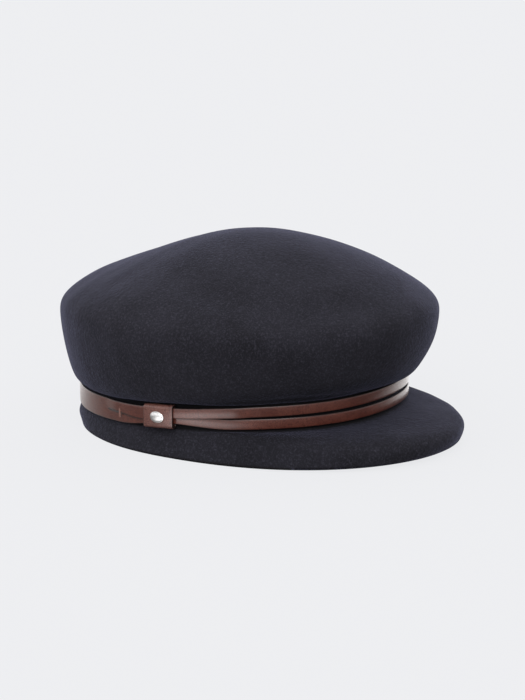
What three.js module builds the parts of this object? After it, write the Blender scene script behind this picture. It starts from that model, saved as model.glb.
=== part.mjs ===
import * as THREE from 'three';

// A felt sailor cap with a short peak, a slit leather band, a leather keeper and a plain metal stud.
// Sizes are in millimetres, +Z up. The peak points to -Y, the keeper is on the -X side, and the
// origin is on the floor in the middle of the cap. Angles are in degrees round the head, 0 at the
// front and 90 on the keeper's side.

const fitGap = 0.3;

// Head opening inside the felt, under the band: a 57 cm head.
const headLength = 198;
const headWidth = 165;
const feltThickness = 2.2;

// Band: the height of its centre line round the head, where it sags beside the front, and its width.
const bandHeight = 23.0;
const bandRise = 7.0;
const bandSaddle = 1.1;
const bandSag = 1.6;
const sagAngle = 24;
const sagHalfAngle = 48;
const bandWidth = 12.4;
const leatherThickness = 1.1;

// The two strips of the band: they spread apart at the front and cross inside the keeper.
const stripGap = 0.3;
const frontSpread = 0.7;
const spreadAngle = 110;
const crossAngle = 84.5;
const crossHalfAngle = 22;
const crossFade = 8;
const crossRise = 3.2;
const slitFade = 3;

// Keeper and stud.
const keeperAngle = 88;
const keeperLength = 19.5;
const keeperThickness = 1.0;
const keeperSlack = 0.6;
const keeperCorner = 0.8;
const keeperLead = 1.5;
const keeperFade = 16;
const studLength = 9.5;
const studWidth = 6.5;
const studEdge = 0.5;
const studDome = 1.1;

// Crown.
const crownLength = 233.8;
const crownWidth = 203;
const crownForward = 4.1;
const capHeight = 117.5;

// Rim and peak. A flare section and the cut edge stand out from the band by these half sizes, at the
// front and back (length) and at the sides (width).
const flareLength = 3.2;
const flareWidth = -2.0;
const flareHeight = 13.3;
const flareTilt = 11.2;
const edgeLength = -4.1;
const edgeWidth = 3.9;
const peakReach = 40.0;
const peakHalfAngle = 103;
const peakPower = 1.6;
const peakDrop = 8.6;
const peakLift = 3.0;
const liftHalfAngle = 74;

// Sections of the crown from its top: reach as a share of the crown's half sizes, height as a share
// of the way from the band's top to the cap's top, and shares of crownForward and bandRise. The
// first stands over 1 since blending the sections lowers it.
const crownSections = [
  { reach: 0.0, height: 1.03, forward: 0.8, tilt: 0.0 },
  { reach: 0.354, height: 0.94, forward: 1.08, tilt: 0.44 },
  { reach: 0.673, height: 0.786, forward: 1.08, tilt: 0.6 },
  { reach: 0.87, height: 0.66, forward: 1.0, tilt: 0.28 },
  { reach: 0.987, height: 0.55, forward: 1.0, tilt: 0.43 },
];

// Sections of the crown's wall: out is the share of the way from the band's seat to the crown's
// half sizes.
const wallSections = [
  { out: 1.015, height: 0.467, forward: 1.0, tilt: 0.32 },
  { out: 0.79, height: 0.214, forward: 0.8, tilt: 0.46 },
  { out: 0.39, height: 0.022, forward: 0.28, tilt: 0.8 },
];

// Sections of the band's seat, in millimetres above the band's top edge and below its lower edge;
// the felt rises a little more over the keeper.
const seatAbove = [1.9, -0.4];
const seatBelow = [0.8, 1.2];
const keeperRoom = 1.0;
const peakSeatDrop = 1.6;

// Soft folds pressed into the crown: centre angle, centre section, half sizes, lean in sections per
// degree, and height in millimetres (a dent is negative).
const folds = [
  { angle: 77, section: 2.4, halfAngle: 26, halfSections: 0.8, lean: -0.03, height: -1.8 },
  { angle: 30, section: 3.1, halfAngle: 22, halfSections: 0.9, lean: 0.0, height: -1.4 },
  { angle: 108, section: 3.1, halfAngle: 20, halfSections: 1.0, lean: 0.0, height: 0.8 },
  { angle: 56, section: 5.0, halfAngle: 60, halfSections: 1.5, lean: 0.0, height: 3.2 },
  { angle: -35, section: 6.6, halfAngle: 60, halfSections: 1.2, lean: 0.0, height: -1.5 },
  { angle: 45, section: 7.1, halfAngle: 65, halfSections: 1.0, lean: 0.0, height: -2.2 },
];

const aroundSteps = 72;
const stepsPerSection = 2;
const slitSteps = 72;
const backSteps = 36;

const seatHalfLength = headLength / 2 + feltThickness;
const seatHalfWidth = headWidth / 2 + feltThickness;
const bandHalfLength = seatHalfLength + fitGap + leatherThickness;
const bandHalfWidth = seatHalfWidth + fitGap + leatherThickness;
const bandTop = bandHeight + bandWidth / 2;
const slitAngle = crossAngle + crossHalfAngle + crossFade;
const keeperHalfAngle = (keeperLength / 2 / (bandHalfLength * Math.PI)) * 180;

// Places run along the felt's profile, one per section: 0 is the crown's top, feltEnd the cut edge.
const feltEnd = crownSections.length + wallSections.length + seatAbove.length + seatBelow.length + 1;

const radians = (degrees) => (degrees * Math.PI) / 180;

// Degrees from a centre angle, between -180 and 180.
const turnFrom = (angle, centre) => ((((angle - centre + 180) % 360) + 360) % 360) - 180;

// A cosine hump: 1 at its centre, 0 from the half angle on.
function hump(angle, centre, halfAngle, power = 1) {
  const share = Math.min(Math.abs(turnFrom(angle, centre)) / halfAngle, 1);
  return (0.5 + 0.5 * Math.cos(Math.PI * share)) ** power;
}

// A flat-topped hump: 1 out to the half angle, then a smooth fall to 0 over the fade.
function plateau(angle, centre, halfAngle, fade) {
  const past = Math.min(Math.max((Math.abs(turnFrom(angle, centre)) - halfAngle) / fade, 0), 1);
  return 1 - past * past * (3 - 2 * past);
}

// A point of an ellipse round the head; outward moves it along the ellipse's own normal in plan.
function around(angle, halfLength, halfWidth, outward, height, forward = 0) {
  const s = Math.sin(radians(angle));
  const c = Math.cos(radians(angle));
  const normal = new THREE.Vector2(-s * halfLength, -c * halfWidth).normalize();
  return new THREE.Vector3(
    -halfWidth * s + outward * normal.x,
    -(forward + halfLength * c) + outward * normal.y,
    height
  );
}

const bandCentre = (angle) =>
  bandHeight +
  bandRise * Math.cos(radians(angle)) +
  bandSaddle * Math.cos(radians(2 * angle)) -
  bandSag * hump(angle, sagAngle, sagHalfAngle);

// The felt's sections at one angle, from the crown's top to the cut edge of the rim and peak.
function feltSections(angle) {
  const tiltAt = Math.cos(radians(angle));
  const saddleAt = Math.cos(radians(2 * angle));
  const sections = [];
  const add = (halfLength, halfWidth, row) => {
    const saddle = Math.max(0, 1 - 2 * row.height) * bandSaddle;
    const level = bandTop + row.height * (capHeight - bandTop);
    const height = level + row.tilt * bandRise * tiltAt + saddle * saddleAt;
    sections.push(around(angle, halfLength, halfWidth, 0, height, row.forward * crownForward));
  };
  for (const row of crownSections) {
    add((row.reach * crownLength) / 2, (row.reach * crownWidth) / 2, row);
  }
  for (const row of wallSections) {
    const halfLength = seatHalfLength + row.out * (crownLength / 2 - seatHalfLength);
    const halfWidth = seatHalfWidth + row.out * (crownWidth / 2 - seatHalfWidth);
    add(halfLength, halfWidth, row);
  }
  const peak = hump(angle, 0, peakHalfAngle, peakPower);
  const top = bandCentre(angle) + bandWidth / 2 + frontSpread * hump(angle, 0, spreadAngle);
  const bottom = bandCentre(angle) - bandWidth / 2 - frontSpread * hump(angle, 0, spreadAngle);
  const room = keeperRoom * plateau(angle, keeperAngle, keeperHalfAngle, keeperFade);
  for (const above of seatAbove) {
    sections.push(around(angle, seatHalfLength, seatHalfWidth, 0, top + above + room));
  }
  for (const below of seatBelow) {
    const height = bottom - below - peakSeatDrop * peak;
    sections.push(around(angle, seatHalfLength, seatHalfWidth, 0, height));
  }
  const flare = flareHeight + flareTilt * tiltAt - peakDrop * peak;
  const reach = peakReach * peak;
  const lift = peakLift * hump(angle, 0, liftHalfAngle);
  const addRim = (length, width, outward, height) => {
    sections.push(around(angle, bandHalfLength + length, bandHalfWidth + width, outward, height));
  };
  addRim(flareLength, flareWidth, reach, flare);
  addRim(edgeLength, edgeWidth, reach, lift);
  return sections;
}

// A point of the felt's outer face: the sections blended by a cubic B-spline, with the section before
// the first mirrored over the crown's top and the one after the last carried straight on.
function feltOuter(angle, place) {
  const own = feltSections(angle);
  const across = feltSections(angle + 180)[1];
  const last = own.length - 1;
  const after = own[last].clone().multiplyScalar(2).sub(own[last - 1]);
  const all = [across, ...own, after];
  const from = Math.min(Math.floor(place), last - 1);
  const t = place - from;
  const weights = [(1 - t) ** 3, 3 * t ** 3 - 6 * t ** 2 + 4, -3 * t ** 3 + 3 * t ** 2 + 3 * t + 1, t ** 3];
  const point = new THREE.Vector3();
  weights.forEach((weight, i) => point.addScaledVector(all[from + i], weight / 6));
  return point;
}

// The outer face's unit normal, from small steps along and around it.
function feltNormal(angle, place) {
  const step = 0.05;
  const down = feltOuter(angle, Math.min(place + step, feltEnd)).sub(feltOuter(angle, place - step));
  const turn = feltOuter(angle + 1, place).sub(feltOuter(angle - 1, place));
  return turn.cross(down).normalize();
}

function foldHeight(angle, place) {
  let height = 0;
  for (const fold of folds) {
    const turn = turnFrom(angle, fold.angle);
    const drop = place - fold.section - fold.lean * turn;
    const share = Math.min(Math.hypot(turn / fold.halfAngle, drop / fold.halfSections), 1);
    height += fold.height * (0.5 + 0.5 * Math.cos(Math.PI * share));
  }
  return height;
}

// One closed skin from rows of points that start at one pole and end at another.
function skin(startPole, rows, endPole) {
  const count = rows[0].length;
  const points = [startPole, ...rows.flat(), endPole];
  const index = [];
  const at = (row, i) => 1 + row * count + (i % count);
  for (let i = 0; i < count; i += 1) {
    index.push(0, at(0, i + 1), at(0, i));
    for (let row = 0; row < rows.length - 1; row += 1) {
      index.push(at(row, i), at(row, i + 1), at(row + 1, i));
      index.push(at(row, i + 1), at(row + 1, i + 1), at(row + 1, i));
    }
    index.push(points.length - 1, at(rows.length - 1, i), at(rows.length - 1, i + 1));
  }
  return solid(points, index);
}

function solid(points, index) {
  const geometry = new THREE.BufferGeometry().setFromPoints(points);
  geometry.setIndex(index);
  geometry.computeVertexNormals();
  return geometry;
}

// Felt body: the outer face down to the edge, a flat cut edge, and the inner face back up.
function feltBody() {
  const angles = Array.from({ length: aroundSteps }, (_, i) => (360 * i) / aroundSteps);
  const outerRows = [];
  const innerRows = [];
  const rowCount = feltEnd * stepsPerSection;
  for (let row = 1; row <= rowCount; row += 1) {
    const place = row / stepsPerSection;
    const outer = [];
    const inner = [];
    for (const angle of angles) {
      const normal = feltNormal(angle, place);
      const point = feltOuter(angle, place).addScaledVector(normal, foldHeight(angle, place));
      if (row === rowCount) {
        normal.setZ(0).normalize();
      }
      outer.push(point);
      inner.push(point.clone().addScaledVector(normal, -feltThickness));
    }
    outerRows.push(outer);
    innerRows.unshift(inner);
  }
  const top = feltOuter(0, 0);
  return skin(top, [...outerRows, ...innerRows], top.clone().setZ(top.z - feltThickness));
}

// Heights of the band's four edges at one angle, and how far each strip stands off the felt.
function bandSection(angle) {
  const centre = bandCentre(angle);
  const slit = plateau(angle, 0, slitAngle - slitFade, slitFade);
  const spread = frontSpread * hump(angle, 0, spreadAngle);
  const rise = crossRise * hump(angle, crossAngle, crossHalfAngle);
  const stripHalfGap = (slit * stripGap) / 2;
  const lift = (keeperThickness + fitGap) * plateau(angle, keeperAngle, keeperHalfAngle + keeperLead, keeperFade);
  const cross = (leatherThickness + fitGap) * plateau(angle, crossAngle, crossHalfAngle, crossFade);
  return {
    lowerBottom: centre - bandWidth / 2 - spread + rise,
    lowerTop: centre - stripHalfGap - spread + rise,
    upperBottom: centre + stripHalfGap + spread,
    upperTop: centre + bandWidth / 2 + spread,
    lowerStand: fitGap + lift,
    upperStand: fitGap + lift + cross,
  };
}

// Band: one ring of leather, slit from one side round the front to the other, where it is two strips.
function leatherBand() {
  const stations = [];
  for (let i = 0; i < slitSteps; i += 1) {
    stations.push({ angle: -slitAngle + (2 * slitAngle * i) / slitSteps, slit: i > 0 });
  }
  for (let i = 0; i < backSteps; i += 1) {
    stations.push({ angle: slitAngle + ((360 - 2 * slitAngle) * i) / backSteps, slit: false });
  }
  const points = [];
  for (const station of stations) {
    const band = bandSection(station.angle);
    const put = (stand, height) => {
      points.push(around(station.angle, seatHalfLength, seatHalfWidth, stand, height));
    };
    put(band.lowerStand + leatherThickness, band.lowerBottom);
    put(band.lowerStand + leatherThickness, band.lowerTop);
    put(band.upperStand + leatherThickness, band.upperBottom);
    put(band.upperStand + leatherThickness, band.upperTop);
    put(band.upperStand, band.upperTop);
    put(band.upperStand, band.upperBottom);
    put(band.lowerStand, band.lowerTop);
    put(band.lowerStand, band.lowerBottom);
  }
  // Outside the slit the two strips share one row of points.
  const at = (i, corner) => {
    const station = i % stations.length;
    const shared = stations[station].slit ? corner : { 2: 1, 5: 6 }[corner] ?? corner;
    return station * 8 + shared;
  };
  const index = [];
  for (let i = 0; i < stations.length; i += 1) {
    const loops = i < slitSteps ? [[0, 1, 6, 7], [2, 3, 4, 5]] : [[0, 1, 3, 4, 6, 7]];
    for (const loop of loops) {
      loop.forEach((corner, k) => {
        const next = loop[(k + 1) % loop.length];
        index.push(at(i, corner), at(i, next), at(i + 1, corner));
        index.push(at(i, next), at(i + 1, next), at(i + 1, corner));
      });
    }
  }
  return solid(points, index);
}

// Half depth of the keeper's hollow, which holds both strips, and the keeper's height at an angle.
const keeperHalfDepth = (2 * leatherThickness + 3 * fitGap) / 2;
const keeperStand = fitGap + keeperThickness + keeperHalfDepth;
const keeperEnds = [keeperAngle - keeperHalfAngle, keeperAngle + keeperHalfAngle];
const lowerEdge = (angle) => bandSection(angle).lowerBottom - bandCentre(angle);
const keeperLow = Math.min(...keeperEnds.map(lowerEdge));
const keeperHalfHeight = (bandWidth / 2 - keeperLow) / 2 + keeperSlack;
const keeperCentre = (angle) => bandCentre(angle) + (bandWidth / 2 + keeperLow) / 2;

// Keeper: a rounded loop of leather round both strips, following the head's curve.
function keeper() {
  const cornerSteps = 4;
  const alongSteps = 4;
  const loop = [];
  for (const [depthSide, heightSide, start] of [[1, 1, 0], [-1, 1, 90], [-1, -1, 180], [1, -1, 270]]) {
    for (let i = 0; i <= cornerSteps; i += 1) {
      const turn = radians(start + (90 * i) / cornerSteps);
      loop.push({ depthSide, heightSide, depth: Math.cos(turn), height: Math.sin(turn) });
    }
  }
  const points = [];
  for (let j = 0; j <= alongSteps; j += 1) {
    const angle = keeperAngle + keeperHalfAngle * ((2 * j) / alongSteps - 1);
    for (const thickness of [0, keeperThickness]) {
      for (const { depthSide, heightSide, depth, height } of loop) {
        const stand = depthSide * (keeperHalfDepth - keeperCorner) + (keeperCorner + thickness) * depth;
        const rise = heightSide * (keeperHalfHeight - keeperCorner) + (keeperCorner + thickness) * height;
        const centre = keeperCentre(angle);
        points.push(around(angle, seatHalfLength, seatHalfWidth, keeperStand + stand, centre + rise));
      }
    }
  }
  const size = loop.length;
  const at = (j, side, i) => (j * 2 + side) * size + (i % size);
  const index = [];
  const quad = (a, b, c, d) => index.push(a, b, c, a, c, d);
  for (let i = 0; i < size; i += 1) {
    for (let j = 0; j < alongSteps; j += 1) {
      quad(at(j, 1, i + 1), at(j + 1, 1, i + 1), at(j + 1, 1, i), at(j, 1, i));
      quad(at(j, 0, i), at(j + 1, 0, i), at(j + 1, 0, i + 1), at(j, 0, i + 1));
    }
    quad(at(0, 0, i + 1), at(0, 1, i + 1), at(0, 1, i), at(0, 0, i));
    quad(at(alongSteps, 0, i), at(alongSteps, 1, i), at(alongSteps, 1, i + 1), at(alongSteps, 0, i + 1));
  }
  return solid(points, index);
}

// Stud: a plain domed oval on the keeper's face.
function ovalStud() {
  const seat = keeperStand + keeperHalfDepth + keeperThickness + fitGap;
  const rings = [[0.94, 0], [1, studEdge / 3], [1, studEdge]];
  for (const share of [0.9, 0.72, 0.48, 0.24]) {
    rings.push([share, studEdge + studDome * Math.sqrt(1 - share * share)]);
  }
  const spot = (across, up, stand) => {
    const angle = keeperAngle - (across / ((bandHalfLength + seat) * Math.PI)) * 180;
    const height = keeperCentre(keeperAngle) + up;
    return around(angle, seatHalfLength, seatHalfWidth, seat + stand, height);
  };
  const count = 24;
  const rows = rings.map(([share, stand]) =>
    Array.from({ length: count }, (_, i) => {
      const turn = radians((360 * i) / count);
      return spot((share * studLength * Math.cos(turn)) / 2, (share * studWidth * Math.sin(turn)) / 2, stand);
    })
  );
  return skin(spot(0, 0, 0), rows, spot(0, 0, studEdge + studDome));
}

const felt = new THREE.MeshStandardMaterial({ color: 0x262a38, roughness: 0.95, metalness: 0 });
const leather = new THREE.MeshStandardMaterial({ color: 0x6e4438, roughness: 0.45, metalness: 0 });
const metal = new THREE.MeshStandardMaterial({ color: 0xc9c4ba, roughness: 0.25, metalness: 1 });

// The origin moves to the middle of the felt's footprint, front to back.
const feltGeometry = feltBody();
feltGeometry.computeBoundingBox();
const middle = (feltGeometry.boundingBox.min.y + feltGeometry.boundingBox.max.y) / 2;

const cap = new THREE.Group();
cap.name = 'sailor_cap';
for (const [name, geometry, material] of [
  ['felt_body', feltGeometry, felt],
  ['leather_band', leatherBand(), leather],
  ['keeper', keeper(), leather],
  ['oval_stud', ovalStud(), metal],
]) {
  geometry.translate(0, -middle, 0);
  const mesh = new THREE.Mesh(geometry, material);
  mesh.name = name;
  cap.add(mesh);
}

export default cap;
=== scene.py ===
import bmesh
import bpy
import numpy as np
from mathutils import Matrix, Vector


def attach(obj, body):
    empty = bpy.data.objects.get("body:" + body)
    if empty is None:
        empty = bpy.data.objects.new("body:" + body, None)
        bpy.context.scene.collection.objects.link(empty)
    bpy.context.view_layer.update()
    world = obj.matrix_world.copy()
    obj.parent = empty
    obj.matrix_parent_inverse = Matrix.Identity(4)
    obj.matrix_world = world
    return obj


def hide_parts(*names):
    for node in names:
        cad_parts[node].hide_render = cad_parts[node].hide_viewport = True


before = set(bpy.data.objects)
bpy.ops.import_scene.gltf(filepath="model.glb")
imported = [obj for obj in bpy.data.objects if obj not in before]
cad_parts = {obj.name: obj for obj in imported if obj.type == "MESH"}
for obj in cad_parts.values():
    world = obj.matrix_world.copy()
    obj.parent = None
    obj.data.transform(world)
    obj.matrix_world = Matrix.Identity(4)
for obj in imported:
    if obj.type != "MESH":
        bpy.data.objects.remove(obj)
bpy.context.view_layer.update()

# A felt sailor cap. Metres, +Z up, the peak towards -Y and the keeper on the -X side.
# Angles are in degrees round the head: 0 at the front, 90 on the keeper's side, 180 at the back.

# The cap's main sizes, the same as the solids', and where the keeper is.
cap = {
    "fitGap": 0.0003,
    "headLength": 0.198,
    "headWidth": 0.165,
    "feltThickness": 0.0022,
    "bandHeight": 0.0230,
    "bandRise": 0.0070,
    "bandSaddle": 0.0011,
    "bandSag": 0.0016,
    "sagAngle": 24,
    "sagHalfAngle": 48,
    "bandWidth": 0.0124,
    "leatherThickness": 0.0011,
    "frontSpread": 0.0007,
    "spreadAngle": 110,
    "keeperAngle": 88,
    "keeperFade": 16,
    "crownLength": 0.2338,
    "crownWidth": 0.203,
    "crownForward": 0.0041,
    "capHeight": 0.1175,
    "middleY": 0.0,  # set below: the middle of the felt, front to back
}
seatHalfLength = cap["headLength"] / 2 + cap["feltThickness"]
seatHalfWidth = cap["headWidth"] / 2 + cap["feltThickness"]
bandHalfLength = seatHalfLength + cap["fitGap"] + cap["leatherThickness"]
bandHalfWidth = seatHalfWidth + cap["fitGap"] + cap["leatherThickness"]


# Shapes round the head

def turnFrom(angle, centre):  # degrees from a centre angle, -180 to 180
    return (angle - centre + 180) % 360 - 180


def hump(angle, centre, halfAngle, power=1.0):  # cosine hump: 1 at its centre, 0 from the half angle on
    share = np.minimum(np.abs(turnFrom(angle, centre)) / halfAngle, 1)
    return (0.5 + 0.5 * np.cos(np.pi * share)) ** power


def plateau(angle, centre, halfAngle, fade):  # 1 out to the half angle, then a smooth fall to 0
    past = np.clip((np.abs(turnFrom(angle, centre)) - halfAngle) / fade, 0, 1)
    return 1 - past * past * (3 - 2 * past)


def aroundHead(angle, halfLength, halfWidth, outward, height, forward=0.0):
    # a point of an ellipse, moved outward along the ellipse's own normal in plan
    sine = np.sin(np.radians(angle))
    cosine = np.cos(np.radians(angle))
    size = np.hypot(sine * halfLength, cosine * halfWidth) + 1e-12
    x = -halfWidth * sine - outward * sine * halfLength / size
    y = -(forward + halfLength * cosine) - outward * cosine * halfWidth / size - cap["middleY"]
    return np.stack(np.broadcast_arrays(x, y, height), axis=-1)


def bandCentre(angle):
    tilt = cap["bandRise"] * np.cos(np.radians(angle))
    saddle = cap["bandSaddle"] * np.cos(np.radians(2 * angle))
    sag = cap["bandSag"] * hump(angle, cap["sagAngle"], cap["sagHalfAngle"])
    return cap["bandHeight"] + tilt + saddle - sag


def addMesh(name, points, faceSets, smooth=True):  # faceSets holds whole arrays of corner numbers
    corners = np.concatenate([faces.ravel() for faces in faceSets]).astype(np.int32)
    sizes = np.concatenate([np.full(len(faces), faces.shape[1]) for faces in faceSets])
    starts = np.concatenate([[0], np.cumsum(sizes)[:-1]]).astype(np.int32)
    mesh = bpy.data.meshes.new(name)
    mesh.vertices.add(len(points))
    mesh.vertices.foreach_set("co", np.asarray(points, np.float32).ravel())
    mesh.loops.add(len(corners))
    mesh.loops.foreach_set("vertex_index", corners)
    mesh.polygons.add(len(sizes))
    mesh.polygons.foreach_set("loop_start", starts)
    mesh.polygons.foreach_set("use_smooth", np.full(len(sizes), smooth))
    mesh.update(calc_edges=True)
    mesh.validate()
    piece = bpy.data.objects.new(name, mesh)
    bpy.context.collection.objects.link(piece)
    return piece


def paintPoints(piece, name, values):  # one number for each point, read by the materials
    layer = piece.data.attributes.new(name, "FLOAT", "POINT")
    layer.data.foreach_set("value", np.asarray(values, np.float32).ravel())


def closeMesh(piece, distance):  # joins doubled points and turns every face outwards
    shape = bmesh.new()
    shape.from_mesh(piece.data)
    bmesh.ops.remove_doubles(shape, verts=shape.verts, dist=distance)
    bmesh.ops.recalc_face_normals(shape, faces=shape.faces)
    shape.to_mesh(piece.data)
    shape.free()


def gridQuads(rows, columns, wrapRows=False, wrapColumns=True):
    # corner numbers of the quads of a rows by columns grid, wrapped round where asked
    row = np.arange(rows if wrapRows else rows - 1)[:, None]
    column = np.arange(columns if wrapColumns else columns - 1)[None, :]
    nextRow = (row + 1) % rows
    nextColumn = (column + 1) % columns
    quads = [row * columns + column, row * columns + nextColumn]
    quads += [nextRow * columns + nextColumn, nextRow * columns + column]
    return np.stack(np.broadcast_arrays(*quads), axis=-1).reshape(-1, 4)


# Shader groups that the finishes share

def newGroup(name, inputs, outputs):
    group = bpy.data.node_groups.new(name, "ShaderNodeTree")
    for socketName, kind, value in inputs:
        socket = group.interface.new_socket(socketName, in_out="INPUT", socket_type=kind)
        if value is not None:
            socket.default_value = value
    for socketName, kind in outputs:
        group.interface.new_socket(socketName, in_out="OUTPUT", socket_type=kind)
    start = group.nodes.new("NodeGroupInput")
    end = group.nodes.new("NodeGroupOutput")
    return group, start, end


def addNode(tree, kind, links=None, **settings):
    # a node with its properties set; links maps an input to another socket or to a plain value
    node = tree.nodes.new(kind)
    for key, value in settings.items():
        setattr(node, key, value)
    for key, value in (links or {}).items():
        socket = node.inputs[key]
        if isinstance(value, bpy.types.NodeSocket):
            tree.links.new(value, socket)
        else:
            socket.default_value = value
    return node


def makePatches():  # soft uneven patches: noise of one size, spread between two limits
    group, start, end = newGroup(
        "softPatches",
        [("Vector", "NodeSocketVector", None), ("PerMetre", "NodeSocketFloat", 100.0),
         ("Low", "NodeSocketFloat", 0.35), ("High", "NodeSocketFloat", 0.65)],
        [("Mask", "NodeSocketFloat")],
    )
    noise = addNode(group, "ShaderNodeTexNoise", {
        "Vector": start.outputs["Vector"],
        "Scale": start.outputs["PerMetre"],
        "Detail": 3.0,
    })
    spread = addNode(group, "ShaderNodeMapRange", {
        "Value": noise.outputs["Fac"],
        "From Min": start.outputs["Low"],
        "From Max": start.outputs["High"],
    })
    group.links.new(spread.outputs["Result"], end.inputs["Mask"])
    return group


def makeGrain():  # leather grain: rounded pebbles parted by thin creases, and small pores
    group, start, end = newGroup(
        "leatherGrain",
        [("Vector", "NodeSocketVector", None), ("PebblesPerMetre", "NodeSocketFloat", 1400.0),
         ("PoresPerMetre", "NodeSocketFloat", 2600.0)],
        [("Height", "NodeSocketFloat"), ("Crease", "NodeSocketFloat")],
    )
    warp = addNode(group, "ShaderNodeTexNoise", {"Vector": start.outputs["Vector"], "Scale": 400.0})
    shift = addNode(group, "ShaderNodeVectorMath", {
        0: warp.outputs["Color"],
        "Scale": 0.0007,
    }, operation="SCALE")
    bent = addNode(group, "ShaderNodeVectorMath", {0: start.outputs["Vector"], 1: shift.outputs[0]})
    pebble = addNode(group, "ShaderNodeTexVoronoi", {
        "Vector": bent.outputs[0],
        "Scale": start.outputs["PebblesPerMetre"],
    }, feature="DISTANCE_TO_EDGE")
    crease = addNode(group, "ShaderNodeMapRange", {
        "Value": pebble.outputs["Distance"],
        "From Min": 0.0,
        "From Max": 0.18,
    }, interpolation_type="SMOOTHSTEP")
    pores = addNode(group, "ShaderNodeTexNoise", {
        "Vector": start.outputs["Vector"],
        "Scale": start.outputs["PoresPerMetre"],
        "Detail": 2.0,
    })
    height = addNode(group, "ShaderNodeMath", {
        0: pores.outputs["Fac"],
        1: 0.5,
        2: crease.outputs["Result"],
    }, operation="MULTIPLY_ADD")
    inverse = addNode(group, "ShaderNodeMath", {0: 1.0, 1: crease.outputs["Result"]}, operation="SUBTRACT")
    group.links.new(height.outputs[0], end.inputs["Height"])
    group.links.new(inverse.outputs[0], end.inputs["Crease"])
    return group


def makeNap():  # felted wool: matted lumps, short crossing fibres and single pale hairs
    group, start, end = newGroup(
        "woolNap",
        [("Vector", "NodeSocketVector", None), ("FibresPerMetre", "NodeSocketFloat", 1500.0),
         ("LumpsPerMetre", "NodeSocketFloat", 420.0)],
        [("Height", "NodeSocketFloat"), ("Flecks", "NodeSocketFloat"), ("Lumps", "NodeSocketFloat")],
    )
    lumps = addNode(group, "ShaderNodeTexNoise", {
        "Vector": start.outputs["Vector"],
        "Scale": start.outputs["LumpsPerMetre"],
        "Detail": 4.0,
        "Roughness": 0.6,
    })
    fibres = []
    for stretch in ((1.0, 0.45, 0.8), (0.5, 1.0, 0.6), (0.8, 0.7, 0.45)):  # three crossing directions
        lay = addNode(group, "ShaderNodeVectorMath", {
            0: start.outputs["Vector"],
            1: stretch,
        }, operation="MULTIPLY")
        noise = addNode(group, "ShaderNodeTexNoise", {
            "Vector": lay.outputs[0],
            "Scale": start.outputs["FibresPerMetre"],
            "Detail": 2.0,
            "Distortion": 0.6,
        })
        fibres.append(noise.outputs["Fac"])
    pair = addNode(group, "ShaderNodeMath", {0: fibres[0], 1: fibres[1]}, operation="MAXIMUM")
    matted = addNode(group, "ShaderNodeMath", {0: pair.outputs[0], 1: fibres[2]}, operation="MAXIMUM")
    height = addNode(group, "ShaderNodeMath", {
        0: lumps.outputs["Fac"],
        1: 0.8,
        2: matted.outputs[0],
    }, operation="MULTIPLY_ADD")
    flecks = addNode(group, "ShaderNodeMapRange", {
        "Value": matted.outputs[0],
        "From Min": 0.56,
        "From Max": 0.82,
    })
    group.links.new(height.outputs[0], end.inputs["Height"])
    group.links.new(flecks.outputs["Result"], end.inputs["Flecks"])
    group.links.new(lumps.outputs["Fac"], end.inputs["Lumps"])
    return group


softPatches = makePatches()
leatherGrain = makeGrain()
woolNap = makeNap()


def newMaterial(name, **shaderValues):  # a material with its shader's constant sockets set
    material = bpy.data.materials.new(name)
    material.use_nodes = True
    shader = material.node_tree.nodes["Principled BSDF"]
    for key, value in shaderValues.items():
        shader.inputs[key.replace("_", " ")].default_value = value
    return material, material.node_tree, shader


def addGroup(tree, group, links):
    node = addNode(tree, "ShaderNodeGroup", node_tree=group)
    for key, value in links.items():
        if isinstance(value, bpy.types.NodeSocket):
            tree.links.new(value, node.inputs[key])
        else:
            node.inputs[key].default_value = value
    return node


def mixColours(tree, factor, first, second, blend="MIX"):
    mix = addNode(tree, "ShaderNodeMix", data_type="RGBA", blend_type=blend)
    for socket, value in ((mix.inputs[0], factor), (mix.inputs[6], first), (mix.inputs[7], second)):
        if isinstance(value, bpy.types.NodeSocket):
            tree.links.new(value, socket)
        else:
            socket.default_value = value
    return mix.outputs[2]


def finishPiece(piece, material, slotName, *nodes):
    piece.data.materials.clear()
    piece.data.materials.append(material)
    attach(piece, "root")
    if nodes:
        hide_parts(*nodes)
    print("made", piece.name, len(piece.data.polygons), "faces")


# Felt body

felt = {
    "flareLength": 0.0032,
    "flareWidth": -0.0020,
    "flareHeight": 0.0133,
    "flareTilt": 0.0112,
    "edgeLength": -0.0041,
    "edgeWidth": 0.0039,
    "peakReach": 0.0400,
    "peakHalfAngle": 103,
    "peakPower": 1.6,
    "peakDrop": 0.0086,
    "peakLift": 0.0030,
    "liftHalfAngle": 74,
    "aroundSteps": 440,
    "outerSteps": 150,
    "innerSteps": 50,
    "outerEnd": 0.045,
    "innerEnd": 0.12,
    "innerTop": 0.02,
    "edgeRadius": 0.0010,
    "edgeTurns": (15, 40, 65, 90),
    "edgeShade": 0.13,
    "edgeShadeFade": 0.08,
    "waveSize": 0.00012,
    "waveFade": 0.6,
    "waveSeed": 11,
    "darkNavy": (0.0095, 0.0091, 0.0120, 1),
    "paleNavy": (0.0355, 0.034, 0.0455, 1),
    # colour of the painted shade on the cut edge and on the strip of outer face just above it
    "edgeShadeColour": (0.003, 0.0025, 0.0025, 1),
    "shadeColour": (0.002, 0.0018, 0.0018, 1),
    "shade": 0.9,
    "shadeAbove": 0.0021,
    "shadeAboveFront": 0.0135,
    "shadeBelow": 0.0014,
    "shadeBelowFront": 0.006,
    "aboveAngles": (30, 85),
    "belowAngles": (15, 70),
    "patchTone": 0.22,
    "napStrength": 0.8,
    "napHeight": 0.0006,
}

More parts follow.
